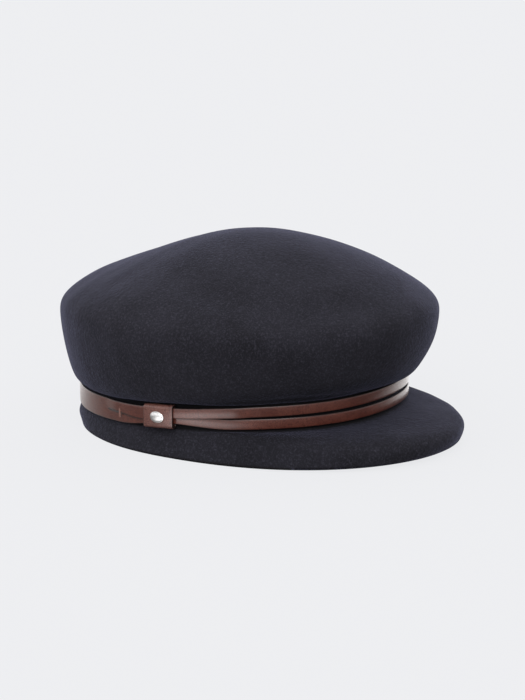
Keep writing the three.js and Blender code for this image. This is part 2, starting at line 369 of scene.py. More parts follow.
# Sections from the crown's top: reach is a share of the crown's half sizes, height a share of the
# way from the band's top to the cap's top, forward and tilt shares of crownForward and bandRise.
crownSections = [
    {"reach": 0.0, "height": 1.03, "forward": 0.8, "tilt": 0.0},
    {"reach": 0.354, "height": 0.94, "forward": 1.08, "tilt": 0.44},
    {"reach": 0.673, "height": 0.786, "forward": 1.08, "tilt": 0.6},
    {"reach": 0.87, "height": 0.66, "forward": 1.0, "tilt": 0.28},
    {"reach": 0.987, "height": 0.55, "forward": 1.0, "tilt": 0.43},
]
wallSections = [  # out is the share of the way from the band's seat to the crown's half sizes
    {"out": 1.015, "height": 0.467, "forward": 1.0, "tilt": 0.32},
    {"out": 0.79, "height": 0.214, "forward": 0.8, "tilt": 0.46},
    {"out": 0.39, "height": 0.022, "forward": 0.28, "tilt": 0.8},
]
seatAbove = [0.0019, -0.0004]  # above the band's top edge
seatBelow = [0.0008, 0.0012]  # below its lower edge
keeperRoom = {"height": 0.0010, "halfAngle": 5.5}  # the felt stands clear of the keeper
peakSeatDrop = 0.0016
feltEnd = len(crownSections) + len(wallSections) + len(seatAbove) + len(seatBelow) + 1

# Soft folds: centre angle and section, half sizes, lean in sections per degree, and height.
folds = [
    {"angle": 77, "section": 2.4, "halfAngle": 26, "halfSections": 0.8, "lean": -0.03, "height": -0.0018},
    {"angle": 30, "section": 3.1, "halfAngle": 22, "halfSections": 0.9, "lean": 0.0, "height": -0.0014},
    {"angle": 108, "section": 3.1, "halfAngle": 20, "halfSections": 1.0, "lean": 0.0, "height": 0.0008},
    {"angle": 56, "section": 5.0, "halfAngle": 60, "halfSections": 1.5, "lean": 0.0, "height": 0.0032},
    {"angle": -35, "section": 6.6, "halfAngle": 60, "halfSections": 1.2, "lean": 0.0, "height": -0.0015},
    {"angle": 45, "section": 7.1, "halfAngle": 65, "halfSections": 1.0, "lean": 0.0, "height": -0.0022},
]
# Low relief that the solids leave out: the crease below the band and the roll of the peak.
creases = [
    {"angle": 72, "section": 11.45, "halfAngle": 17, "halfSections": 0.22, "lean": 0.027, "height": 0.0005},
    {"angle": 72, "section": 11.8, "halfAngle": 20, "halfSections": 0.25, "lean": 0.027, "height": -0.0004},
    {"angle": 44, "section": 12.1, "halfAngle": 26, "halfSections": 0.35, "lean": 0.006, "height": 0.0004},
]


def feltSections(angle):  # the sections at each angle, from the crown's top to the rim's cut edge
    tiltAt = np.cos(np.radians(angle))
    saddleAt = np.cos(np.radians(2 * angle))
    bandTop = cap["bandHeight"] + cap["bandWidth"] / 2
    halfLength = cap["crownLength"] / 2
    halfWidth = cap["crownWidth"] / 2
    rows = []

    def addSection(length, width, row):
        level = bandTop + row["height"] * (cap["capHeight"] - bandTop)
        saddle = max(0, 1 - 2 * row["height"]) * cap["bandSaddle"]
        height = level + row["tilt"] * cap["bandRise"] * tiltAt + saddle * saddleAt
        rows.append(aroundHead(angle, length, width, 0, height, row["forward"] * cap["crownForward"]))

    for row in crownSections:
        addSection(row["reach"] * halfLength, row["reach"] * halfWidth, row)
    for row in wallSections:
        length = seatHalfLength + row["out"] * (halfLength - seatHalfLength)
        width = seatHalfWidth + row["out"] * (halfWidth - seatHalfWidth)
        addSection(length, width, row)
    peak = hump(angle, 0, felt["peakHalfAngle"], felt["peakPower"])
    spread = cap["frontSpread"] * hump(angle, 0, cap["spreadAngle"])
    top = bandCentre(angle) + cap["bandWidth"] / 2 + spread
    bottom = bandCentre(angle) - cap["bandWidth"] / 2 - spread
    overKeeper = plateau(angle, cap["keeperAngle"], keeperRoom["halfAngle"], cap["keeperFade"])
    for above in seatAbove:
        height = top + above + keeperRoom["height"] * overKeeper
        rows.append(aroundHead(angle, seatHalfLength, seatHalfWidth, 0, height))
    for below in seatBelow:
        rows.append(aroundHead(angle, seatHalfLength, seatHalfWidth, 0, bottom - below - peakSeatDrop * peak))
    flare = felt["flareHeight"] + felt["flareTilt"] * tiltAt - felt["peakDrop"] * peak
    reach = felt["peakReach"] * peak
    lift = felt["peakLift"] * hump(angle, 0, felt["liftHalfAngle"])
    length = bandHalfLength + felt["flareLength"]
    width = bandHalfWidth + felt["flareWidth"]
    rows.append(aroundHead(angle, length, width, reach, flare))
    length = bandHalfLength + felt["edgeLength"]
    width = bandHalfWidth + felt["edgeWidth"]
    rows.append(aroundHead(angle, length, width, reach, lift))
    return np.array(rows)


def feltGrid(angle, place):
    # the outer face at every place and angle: the sections blended by a cubic B-spline, the first
    # mirrored over the crown's top and the last carried straight on
    own = feltSections(angle)
    across = feltSections(angle + 180)[1]
    rows = np.concatenate([across[None], own, (2 * own[-1] - own[-2])[None]])
    start = np.clip(np.floor(place).astype(int), 0, feltEnd - 1)
    t = (place - start)[:, None, None]
    weights = [(1 - t) ** 3, 3 * t ** 3 - 6 * t ** 2 + 4, -3 * t ** 3 + 3 * t ** 2 + 3 * t + 1, t ** 3]
    return sum(weight * rows[start + i] for i, weight in enumerate(weights)) / 6


# The origin is in the middle of the felt's footprint, as in the solids.
frontAndBack = feltGrid(np.array([0.0, 180.0]), np.linspace(0.5, feltEnd, 400))[..., 1]
cap["middleY"] = (frontAndBack.min() + frontAndBack.max()) / 2


def feltNormals(angle, place):
    down = feltGrid(angle, np.minimum(place + 0.04, feltEnd)) - feltGrid(angle, place - 0.04)
    turn = feltGrid(angle + 0.5, place) - feltGrid(angle - 0.5, place)
    normal = np.cross(turn, down)
    return normal / np.linalg.norm(normal, axis=-1, keepdims=True)


def foldHeights(table, angle, place):  # each fold is a round cosine hump in angle and section
    height = np.zeros((len(place), len(angle)))
    for fold in table:
        turn = turnFrom(angle, fold["angle"])[None, :]
        drop = place[:, None] - fold["section"] - fold["lean"] * turn
        share = np.minimum(np.hypot(turn / fold["halfAngle"], drop / fold["halfSections"]), 1)
        height += fold["height"] * (0.5 + 0.5 * np.cos(np.pi * share))
    return height


def slowWaves(points, seed, count=16, shortest=0.018, longest=0.055):
    # the sum of sine waves in random directions: the unevenness of felt blocked by hand
    rng = np.random.default_rng(seed)
    direction = rng.normal(size=(count, 3))
    direction /= np.linalg.norm(direction, axis=1, keepdims=True)
    length = rng.uniform(shortest, longest, count)
    phase = rng.uniform(0, 2 * np.pi, count)
    return np.sin(points @ (direction / length[:, None] * 2 * np.pi).T + phase).sum(-1) / np.sqrt(count)


def shadeBesideBand(points, angle):  # 1 behind the band, fading out above and below it
    spread = cap["frontSpread"] * hump(angle, 0, cap["spreadAngle"])
    above = points[..., 2] - (bandCentre(angle) + cap["bandWidth"] / 2 + spread)
    below = bandCentre(angle) - cap["bandWidth"] / 2 - spread - points[..., 2]
    reachAbove = felt["shadeAbove"] + felt["shadeAboveFront"] * hump(angle, *felt["aboveAngles"])
    reachBelow = felt["shadeBelow"] + felt["shadeBelowFront"] * hump(angle, *felt["belowAngles"])
    share = np.clip(np.maximum(above / reachAbove, below / reachBelow), 0, 1)
    return 1 - share * share * (3 - 2 * share)


def makeFeltBody():
    angle = np.arange(felt["aroundSteps"]) * 360 / felt["aroundSteps"]
    radius = felt["edgeRadius"]
    thickness = cap["feltThickness"]
    lastPlace = feltEnd - felt["outerEnd"]
    place = np.arange(1, felt["outerSteps"] + 1) / felt["outerSteps"] * lastPlace
    outer = feltGrid(angle, place)
    waves = felt["waveSize"] * slowWaves(outer, felt["waveSeed"])
    fade = np.clip((feltEnd - place) / felt["waveFade"], 0, 1)[:, None]
    relief = foldHeights(folds, angle, place) + foldHeights(creases, angle, place) + waves * fade
    outer = outer + relief[..., None] * feltNormals(angle, place)
    innerPlace = np.linspace(1, felt["innerTop"], felt["innerSteps"]) * (feltEnd - felt["innerEnd"])
    inwards = foldHeights(folds, angle, innerPlace) - thickness
    inner = feltGrid(angle, innerPlace) + inwards[..., None] * feltNormals(angle, innerPlace)
    # the cut edge: level between two rounded corners, as thick as the felt
    rim = feltGrid(angle, np.array([float(feltEnd)]))[0]
    outward = feltNormals(angle, np.array([float(feltEnd)]))[0] * np.array([1, 1, 0])
    outward /= np.linalg.norm(outward, axis=-1, keepdims=True)
    back = rim - outward * thickness
    up = np.array([0.0, 0.0, radius])
    edge = []
    turns = np.radians(felt["edgeTurns"])
    for turn in turns:
        edge.append(rim - outward * radius * (1 - np.cos(turn)) + up * (1 - np.sin(turn)))
    edge.append(rim - outward * thickness / 2)
    for turn in turns[::-1]:
        edge.append(back + outward * radius * (1 - np.cos(turn)) + up * (1 - np.sin(turn)))
    rows = np.concatenate([outer, np.array(edge), inner])
    count = len(angle)
    top = feltGrid(np.zeros(1), np.zeros(1))[0]
    points = np.concatenate([rows.reshape(-1, 3), top, top - np.array([0, 0, thickness])])
    first = np.arange(count)
    following = (first + 1) % count
    last = (len(rows) - 1) * count
    topFan = np.stack([np.full(count, len(points) - 2), following, first], axis=-1)
    innerFan = np.stack([np.full(count, len(points) - 1), last + first, last + following], axis=-1)
    piece = addMesh("felt_cap_body", points, [gridQuads(len(rows), count), topFan, innerFan])
    # painted shade: the cut edge's faces and the last strip of the outer face above them are darkened, where
    # shade falls under the rim's edge
    cutEdgeShade = np.zeros(rows.shape[:2])
    cutEdgeShade[len(outer):len(outer) + len(edge)] = 1
    nearEdge = (place - feltEnd + felt["edgeShade"]) / felt["edgeShadeFade"]
    cutEdgeShade[:len(outer)] = np.clip(nearEdge, 0, 1)[:, None]
    paintPoints(piece, "cutEdgeShade", np.concatenate([cutEdgeShade.ravel(), [0, 0]]))
    shade = np.zeros(rows.shape[:2])
    shade[:len(outer)] = shadeBesideBand(outer, angle)
    paintPoints(piece, "shade", np.concatenate([shade.ravel(), [0, 0]]))
    closeMesh(piece, 1e-7)
    return piece


def makeFeltMaterial():
    material, tree, shader = newMaterial(
        "navy_wool_felt", Roughness=0.95, Specular_IOR_Level=0.15, Sheen_Weight=0.22, Sheen_Roughness=0.30,
        Sheen_Tint=(0.60, 0.61, 0.95, 1),
    )
    place = addNode(tree, "ShaderNodeTexCoord").outputs["Object"]
    nap = addGroup(tree, woolNap, {"Vector": place, "FibresPerMetre": 1300.0, "LumpsPerMetre": 450.0})
    patches = addGroup(tree, softPatches, {"Vector": place, "PerMetre": 38.0, "Low": 0.3, "High": 0.7})
    tone = addNode(tree, "ShaderNodeMath", {
        0: patches.outputs["Mask"],
        1: felt["patchTone"],
        2: nap.outputs["Flecks"],
    }, operation="MULTIPLY_ADD")
    colour = mixColours(tree, tone.outputs[0], felt["darkNavy"], felt["paleNavy"])
    shade = addNode(tree, "ShaderNodeAttribute", attribute_name="shade").outputs["Fac"]
    shaded = addNode(tree, "ShaderNodeMath", {0: shade, 1: felt["shade"]}, operation="MULTIPLY")
    colour = mixColours(tree, shaded.outputs[0], colour, felt["shadeColour"])
    # painted shade along the cut edge, darkening the rim's lowest strip
    cutEdgeShade = addNode(tree, "ShaderNodeAttribute", attribute_name="cutEdgeShade").outputs["Fac"]
    colour = mixColours(tree, cutEdgeShade, colour, felt["edgeShadeColour"])
    tree.links.new(colour, shader.inputs["Base Color"])
    bump = addNode(tree, "ShaderNodeBump", {
        "Strength": felt["napStrength"],
        "Distance": felt["napHeight"],
        "Height": nap.outputs["Height"],
    })
    tree.links.new(bump.outputs["Normal"], shader.inputs["Normal"])
    return material


feltBody = makeFeltBody()
finishPiece(feltBody, makeFeltMaterial(), "felt", "felt_body")


# Leather band

band = {
    "stripGap": 0.0003,
    "crossAngle": 84.5,
    "crossHalfAngle": 22,
    "crossFade": 8,
    "crossRise": 0.0032,
    "keeperLead": 1.5,
    "slitFade": 3,
    "slitSteps": 320,
    "backSteps": 140,
    "edgeRadius": 0.00035,
    "crowning": 0.00022,
    "edgeFade": 0.0006,
    "paintedSlit": 0.9,
    # the next two widen the slit's dark edge paint where the lower strip tucks under the upper: painted shade
    # in the slit
    "tuckShadeFade": 0.0009,
    "tuck": (104, 7, 3),
    "tuckDrop": 0.0019,
    "tuckDropAngles": (96, 12),
    "faceSteps": 7,
    "cornerTurns": (0, 30, 60, 90),
}
keeperSizes = {
    "length": 0.0195,
    "thickness": 0.0010,
    "slack": 0.0006,
    "corner": 0.0008,
    "pillow": 0.0003,
    "edgeRadius": 0.0003,
    "cornerSteps": 8,
    "straightSteps": 10,
    "acrossSteps": 9,
    "edgeFade": 0.0005,
    "innerPaint": 0.4,
}
slitAngle = band["crossAngle"] + band["crossHalfAngle"] + band["crossFade"]
keeperHalfAngle = keeperSizes["length"] / 2 / (bandHalfLength * np.pi) * 180


def bandSection(angle):  # heights of the strips' edges, and how far each strip stands off the felt
    centre = bandCentre(angle)
    slit = plateau(angle, 0, slitAngle - band["slitFade"], band["slitFade"])
    spread = cap["frontSpread"] * hump(angle, 0, cap["spreadAngle"])
    rise = band["crossRise"] * hump(angle, band["crossAngle"], band["crossHalfAngle"])
    halfGap = slit * band["stripGap"] / 2
    lifted = plateau(angle, cap["keeperAngle"], keeperHalfAngle + band["keeperLead"], cap["keeperFade"])
    lift = (keeperSizes["thickness"] + cap["fitGap"]) * lifted
    crossed = plateau(angle, band["crossAngle"], band["crossHalfAngle"], band["crossFade"])
    cross = (cap["leatherThickness"] + cap["fitGap"]) * crossed
    drop = band["tuckDrop"] * hump(angle, *band["tuckDropAngles"])
    return {
        "slit": slit,
        "lowerBottom": centre - cap["bandWidth"] / 2 - spread + rise,
        "lowerTop": centre - halfGap - spread + rise,
        "upperBottom": centre + halfGap + spread - drop,
        "upperTop": centre + cap["bandWidth"] / 2 + spread,
        "lowerStand": cap["fitGap"] + lift,
        "upperStand": cap["fitGap"] + lift + cross,
    }


def stripLoop(bottom, top, stand, bottomRadius, topRadius):
    # one strip's cross-section at every station: rounded corners joined by straight faces, the
    # outer face first; gives how far outward each point is, and its height
    thickness = cap["leatherThickness"]
    outward = []
    height = []

    def corner(centreOut, centreUp, radius, startTurn):
        for turn in np.radians(startTurn + np.array(band["cornerTurns"])):
            outward.append(centreOut + radius * np.cos(turn))
            height.append(centreUp + radius * np.sin(turn))

    outFace = stand + thickness
    corner(outFace - bottomRadius, bottom + bottomRadius, bottomRadius, -90)
    for share in np.linspace(0, 1, band["faceSteps"] + 2)[1:-1]:
        outward.append(outFace)
        height.append((bottom + bottomRadius) * (1 - share) + (top - topRadius) * share)
    corner(outFace - topRadius, top - topRadius, topRadius, 0)
    corner(stand + topRadius, top - topRadius, topRadius, 90)
    corner(stand + bottomRadius, bottom + bottomRadius, bottomRadius, 180)
    return np.array(outward), np.array(height)


def makeBand():
    inSlit = -slitAngle + 2 * slitAngle * np.arange(band["slitSteps"]) / band["slitSteps"]
    atBack = slitAngle + (360 - 2 * slitAngle) * np.arange(band["backSteps"]) / band["backSteps"]
    angle = np.concatenate([inSlit, atBack])
    section = bandSection(angle)
    radius = band["edgeRadius"]
    slitRadius = radius * section["slit"]
    low = section["lowerBottom"]
    high = section["upperTop"]
    meshPoints = []
    edges = []
    edgeFade = band["edgeFade"] + 0 * angle
    # near the crossing the slit's dark edge paint is widened into painted shade, where the lower strip lies
    # in the upper's shadow
    slitFade = edgeFade + band["tuckShadeFade"] * plateau(angle, *band["tuck"])
    outerRadius = radius + 0 * angle
    halves = [
        ("lower", outerRadius, slitRadius, edgeFade, slitFade),
        ("upper", slitRadius, outerRadius, slitFade, edgeFade),
    ]
    cornerCount = len(band["cornerTurns"])
    outerCount = 2 * cornerCount + band["faceSteps"]
    for half, bottomRadius, topRadius, bottomFade, topFade in halves:
        bottom = section[half + "Bottom"]
        top = section[half + "Top"]
        outward, height = stripLoop(bottom, top, section[half + "Stand"], bottomRadius, topRadius)
        own = np.clip((height - bottom) / (top - bottom), 0, 1)
        whole = np.clip((height - low) / (high - low), 0, 1)
        crown = section["slit"] * own * (1 - own) + (1 - section["slit"]) * whole * (1 - whole)
        outward[:outerCount] += 4 * band["crowning"] * crown[:outerCount]
        meshPoints.append(aroundHead(angle[None, :], seatHalfLength, seatHalfWidth, outward, height))
        # the paint follows the slit's edges until the slit has nearly closed
        bottomPaint = np.where(bottomRadius > band["paintedSlit"] * radius, 1, section["slit"])
        topPaint = np.where(topRadius > band["paintedSlit"] * radius, 1, section["slit"])
        fromBottom = np.exp(-(height - bottom) / bottomFade) * bottomPaint
        fromTop = np.exp(-(top - height) / topFade) * topPaint
        edges.append(fromBottom + fromTop)
    size = len(meshPoints[0])
    stations = len(angle)
    column = np.arange(size)[:, None]
    station = np.arange(stations)[None, :]
    nextColumn = (column + 1) % size
    nextStation = (station + 1) % stations
    corners = [column * stations + station, nextColumn * stations + station]
    corners += [nextColumn * stations + nextStation, column * stations + nextStation]
    quads = np.stack(np.broadcast_arrays(*corners), axis=-1)
    # behind the slit's ends the two strips are one, so the walls between them are left out
    lowerWall = (column >= outerCount - 1) & (column < outerCount + cornerCount - 1)
    upperWall = (column >= size - 1) | (column < cornerCount - 1)
    faces = []
    for k, isWall in enumerate((lowerWall, upperWall)):
        keep = ~(isWall & (station >= band["slitSteps"]))
        faces.append(quads[np.broadcast_to(keep, quads.shape[:2])] + k * size * stations)
    points = np.concatenate([strip.reshape(-1, 3) for strip in meshPoints])
    piece = addMesh("leather_band_strips", points, faces)
    paintPoints(piece, "edge", np.concatenate([e.ravel() for e in edges]))
    closeMesh(piece, 2e-6)
    return piece


leather = {
    "patchesPerMetre": 70.0,
    "patchHigh": 0.72,
    "specklesPerMetre": 900.0,
    "speckle": 0.35,
    "edgePaintAndShade": (0.012, 0.004, 0.003, 1),
    "paintedFrom": 0.40,
    "paintedTo": 0.85,
    "glossSpread": 0.12,
    "grainHeight": 0.00012,
}
bandFinish = {
    "dark": (0.042, 0.010, 0.007, 1),
    "mid": (0.098, 0.026, 0.017, 1),
    "pale": (0.155, 0.050, 0.035, 1),
    "pebblesPerMetre": 1500.0,
    "grainDepth": 0.25,
    "patchLow": 0.35,
    "roughness": 0.30,
}
keeperFinish = {
    "dark": (0.042, 0.010, 0.007, 1),
    "mid": (0.150, 0.056, 0.045, 1),
    "pale": (0.24, 0.110, 0.090, 1),
    "pebblesPerMetre": 1100.0,
    "grainDepth": 0.6,
    "patchLow": 0.3,
    "roughness": 0.5,
}


def makeLeatherMaterial(name, finish):
    material, tree, shader = newMaterial(
        name, Specular_IOR_Level=0.5, IOR=1.4, Coat_Weight=0.8, Coat_Roughness=0.24, Coat_IOR=1.45,
        Coat_Tint=(1.0, 0.95, 0.89, 1),
    )
    place = addNode(tree, "ShaderNodeTexCoord").outputs["Object"]
    grain = addGroup(tree, leatherGrain, {"Vector": place, "PebblesPerMetre": finish["pebblesPerMetre"]})
    patches = addGroup(tree, softPatches, {
        "Vector": place,
        "PerMetre": leather["patchesPerMetre"],
        "Low": finish["patchLow"],
        "High": leather["patchHigh"],
    })
    fine = addGroup(tree, softPatches, {
        "Vector": place,
        "PerMetre": leather["specklesPerMetre"],
        "Low": 0.3,
        "High": 0.75,
    })
    colour = mixColours(tree, patches.outputs["Mask"], finish["mid"], finish["pale"])
    colour = mixColours(tree, grain.outputs["Crease"], colour, finish["dark"])
    speckle = addNode(tree, "ShaderNodeMath", {
        0: fine.outputs["Mask"],
        1: leather["speckle"],
    }, operation="MULTIPLY")
    colour = mixColours(tree, speckle.outputs[0], colour, finish["dark"])
    # real dark edge paint on the strips and keeper; at the slit's crossing it is widened into painted shade
    edge = addNode(tree, "ShaderNodeAttribute", attribute_name="edge").outputs["Fac"]
    painted = addNode(tree, "ShaderNodeMapRange", {
        "Value": edge,
        "From Min": leather["paintedFrom"],
        "From Max": leather["paintedTo"],
    })
    colour = mixColours(tree, painted.outputs["Result"], colour, leather["edgePaintAndShade"])
    tree.links.new(colour, shader.inputs["Base Color"])
    gloss = addNode(tree, "ShaderNodeMapRange", {
        "Value": patches.outputs["Mask"],
        "To Min": finish["roughness"],
        "To Max": finish["roughness"] + leather["glossSpread"],
    })
    tree.links.new(gloss.outputs["Result"], shader.inputs["Roughness"])
    bump = addNode(tree, "ShaderNodeBump", {
        "Strength": finish["grainDepth"],
        "Distance": leather["grainHeight"],
        "Height": grain.outputs["Height"],
    })
    tree.links.new(bump.outputs["Normal"], shader.inputs["Normal"])
    return material


bandPiece = makeBand()
finishPiece(bandPiece, makeLeatherMaterial("brown_strap_leather", bandFinish), "leather", "leather_band")


# Keeper

def keeperFrame():
    # half the depth and height of the keeper's hollow, how far its middle stands off the felt, and
    # how high it is over the band's centre
    halfDepth = (2 * cap["leatherThickness"] + 3 * cap["fitGap"]) / 2
    ends = cap["keeperAngle"] + keeperHalfAngle * np.array([-1.0, 1.0])
    lowest = (bandSection(ends)["lowerBottom"] - bandCentre(ends)).min()
    halfHeight = (cap["bandWidth"] / 2 - lowest) / 2 + keeperSizes["slack"]
    stand = cap["fitGap"] + keeperSizes["thickness"] + halfDepth
    return halfDepth, halfHeight, stand, (cap["bandWidth"] / 2 + lowest) / 2


def makeKeeper():
    halfDepth, halfHeight, stand, above = keeperFrame()
    corner = keeperSizes["corner"]
    thickness = keeperSizes["thickness"]
    flatDepth = halfDepth - corner
    flatHeight = halfHeight - corner
    # the loop's path: where its hollow's wall is, and which way it faces (depth, height)
    path = []
    facing = []
    sides = [(1, 1, 0), (-1, 1, 90), (-1, -1, 180), (1, -1, 270)]
    for k, (depthSide, heightSide, start) in enumerate(sides):
        for turn in np.radians(start + np.linspace(0, 90, keeperSizes["cornerSteps"])):
            direction = np.array([np.cos(turn), np.sin(turn)])
            path.append(np.array([depthSide * flatDepth, heightSide * flatHeight]) + corner * direction)
            facing.append(direction)
        if k in (1, 3):  # the tall faces, behind and in front, get points of their own
            wall = path[-1][0]
            for share in np.linspace(1, -1, keeperSizes["straightSteps"] + 2)[1:-1]:
                path.append(np.array([wall, heightSide * flatHeight * share]))
                facing.append(direction)
    path = np.array(path)
    facing = np.array(facing)
    # the wall's own cross-section: across is along the band, out is through the leather
    radius = keeperSizes["edgeRadius"]
    halfLength = keeperSizes["length"] / 2
    across = []
    out = []
    shares = np.linspace(-1, 1, keeperSizes["acrossSteps"] + 2)[1:-1]
    for acrossSide, outSide, start in [(1, 1, 90), (1, 0, 0), (-1, 0, -90), (-1, 1, -180)]:
        for turn in np.radians(start - np.array([0, 30, 60, 90])):
            across.append(acrossSide * (halfLength - radius) + radius * np.cos(turn))
            out.append((thickness - radius if outSide else radius) + radius * np.sin(turn))
        if acrossSide == 1 and outSide == 0:  # the inner face
            across += list(-shares * (halfLength - radius))
            out += [0.0] * len(shares)
        if acrossSide == -1 and outSide == 1:  # the outer face, back to the start
            across += list(shares * (halfLength - radius))
            out += [thickness] * len(shares)
    across = np.array(across)
    out = np.array(out)
    isOuter = out > thickness * 0.6
    pillow = keeperSizes["pillow"] * np.clip(1 - (across / halfLength) ** 2, 0, 1) * isOuter
    frontShare = np.clip(facing[:, 0], 0, 1) * np.clip(1 - (path[:, 1] / halfHeight) ** 2, 0, 1)
    distance = out[None, :] + pillow[None, :] * frontShare[:, None]
    depth = path[:, 0, None] + facing[:, 0, None] * distance
    rise = path[:, 1, None] + facing[:, 1, None] * distance
    angle = cap["keeperAngle"] + across[None, :] / halfLength * keeperHalfAngle
    height = bandCentre(angle) + above + rise
    points = aroundHead(angle + 0 * depth, seatHalfLength, seatHalfWidth, stand + depth, height)
    piece = addMesh("keeper_loop", points.reshape(-1, 3), [gridQuads(len(path), len(across), wrapRows=True)])
    nearEdge = np.exp(-(halfLength - np.abs(across)) / keeperSizes["edgeFade"])
    edge = nearEdge + np.where(isOuter, 0, keeperSizes["innerPaint"])
    paintPoints(piece, "edge", np.broadcast_to(edge, depth.shape))
    closeMesh(piece, 1e-7)
    return piece


keeperPiece = makeKeeper()
finishPiece(keeperPiece, makeLeatherMaterial("brown_keeper_leather", keeperFinish), "leather", "keeper")


# Oval stud

stud = {
    "length": 0.0095,
    "width": 0.0065,
    "edge": 0.0005,
    "dome": 0.0011,
    "domeFoot": 0.92,
    "domeShare": 0.9,
    "domeRings": 12,
    "around": 72,
    "colour": (0.90, 0.88, 0.85, 1),
    "wornColour": (0.62, 0.60, 0.57, 1),
    "roughness": (0.32, 0.38),
}


def makeStud():
    # rings of an oval, each with a share of its size and a height over the keeper's face
    halfDepth, halfHeight, stand, above = keeperFrame()
    seat = stand + halfDepth + keeperSizes["thickness"] + cap["fitGap"]
    rings = [(0.5, 0.0), (0.94, 0.0), (0.985, 0.12), (1.0, 0.4), (0.985, 0.8), (0.95, 1.0), (0.915, 0.95)]
    shares = [share for share, lift in rings]
    lifts = [stud["edge"] * lift for share, lift in rings]
    domeFoot = stud["edge"] * stud["domeFoot"]
    for share in np.linspace(0.89, 0.08, stud["domeRings"]):
        shares.append(share)
        lifts.append(domeFoot + stud["dome"] * np.sqrt(1 - (share / stud["domeShare"]) ** 2))
    turn = np.radians(np.arange(stud["around"]) * 360 / stud["around"])
    shares = np.array(shares)[:, None]
    lifts = np.array(lifts)[:, None] + 0 * turn
    sideways = shares * stud["length"] / 2 * np.cos(turn)
    up = shares * stud["width"] / 2 * np.sin(turn)
    middle = cap["keeperAngle"]
    angle = middle - sideways / ((bandHalfLength + seat) * np.pi) * 180
    points = aroundHead(angle, seatHalfLength, seatHalfWidth, seat + lifts, bandCentre(middle) + above + up)
    poleLifts = np.array([0, domeFoot + stud["dome"]])
    level = bandCentre(middle) + above
    poles = aroundHead(np.full(2, middle), seatHalfLength, seatHalfWidth, seat + poleLifts, level)
    count = len(turn)
    first = np.arange(count)
    following = (first + 1) % count
    last = (len(shares) - 1) * count
    allPoints = np.concatenate([points.reshape(-1, 3), poles])
    backFan = np.stack([np.full(count, len(allPoints) - 2), following, first], axis=-1)
    domeFan = np.stack([np.full(count, len(allPoints) - 1), last + first, last + following], axis=-1)
    piece = addMesh("oval_metal_stud", allPoints, [gridQuads(len(shares), count), backFan, domeFan])
    closeMesh(piece, 1e-7)
    return piece


def makeMetalMaterial():
    material, tree, shader = newMaterial("polished_pale_metal", Metallic=1.0)
    place = addNode(tree, "ShaderNodeTexCoord").outputs["Object"]
    wear = addGroup(tree, softPatches, {"Vector": place, "PerMetre": 1200.0, "Low": 0.35, "High": 0.75})
    colour = mixColours(tree, wear.outputs["Mask"], stud["colour"], stud["wornColour"])
    tree.links.new(colour, shader.inputs["Base Color"])
    gloss = addNode(tree, "ShaderNodeMapRange", {
        "Value": wear.outputs["Mask"],
        "To Min": stud["roughness"][0],
        "To Max": stud["roughness"][1],
    })
    tree.links.new(gloss.outputs["Result"], shader.inputs["Roughness"])
    return material


finishPiece(makeStud(), makeMetalMaterial(), "stud_metal", "oval_stud")


# Thread bars that end the slit

thread = {
    "angle": 105,
    "turns": 9,
    "height": 0.0052,
    "width": 0.0011,
    "radius": 0.00024,
    "slant": 0.18,
    "arcSteps": 9,
    "ringSteps": 6,
    "colour": (0.17, 0.070, 0.050, 1),
    "paleColour": (0.25, 0.125, 0.095, 1),
}


def makeThreadBar(name, middle):
    # a column of short thread turns over the slit, each a half ring from hole to hole
    side = np.sign(middle)
    section = bandSection(np.array([float(middle)]))
    slitHeight = (section["lowerTop"] + section["upperBottom"])[0] / 2
    face = section["upperStand"][0] + cap["leatherThickness"]
    if side < 0:
        face = section["lowerStand"][0] + cap["leatherThickness"]
    turnCount = thread["turns"]
    arc = np.linspace(0, np.pi, thread["arcSteps"])
    ring = np.linspace(0, 2 * np.pi, thread["ringSteps"], endpoint=False)
    arcPart, ringPart = np.meshgrid(arc, ring, indexing="ij")
    rise = (np.arange(turnCount) - (turnCount - 1) / 2) * thread["height"] / turnCount
    halfWidth = thread["width"] / 2
    radius = thread["radius"]
    sideways = np.cos(arcPart) * (halfWidth + radius * np.cos(ringPart))
    lift = np.sin(arcPart) * (radius * 1.2 + radius * np.cos(ringPart)) - radius * 0.3
    up = radius * np.sin(ringPart)
    ends = np.array([np.arange(len(ring)), np.arange(len(ring))[::-1] + (len(arc) - 1) * len(ring)])
    points = []
    faces = []
    for i in range(turnCount):
        angle = middle + sideways / (bandHalfLength * np.pi) * 180
        height = slitHeight + rise[i] + up + sideways * thread["slant"]
        points.append(aroundHead(angle, seatHalfLength, seatHalfWidth, face + lift, height).reshape(-1, 3))
        base = i * arcPart.size
        faces.append(gridQuads(len(arc), len(ring)) + base)
        faces.append(ends + base)
    piece = addMesh(name, np.concatenate(points), faces)
    closeMesh(piece, 1e-7)
    return piece


def makeThreadMaterial():
    material, tree, shader = newMaterial("waxed_thread", Roughness=0.6, Sheen_Weight=0.1)
    place = addNode(tree, "ShaderNodeTexCoord").outputs["Object"]
    ply = addGroup(tree, softPatches, {"Vector": place, "PerMetre": 2500.0, "Low": 0.35, "High": 0.65})
    colour = mixColours(tree, ply.outputs["Mask"], thread["colour"], thread["paleColour"])
    tree.links.new(colour, shader.inputs["Base Color"])
    return material


threadMaterial = makeThreadMaterial()
for barName, barAngle in (("slit_thread_left", thread["angle"]), ("slit_thread_right", -thread["angle"])):
    finishPiece(makeThreadBar(barName, barAngle), threadMaterial, "leather")


# Studio

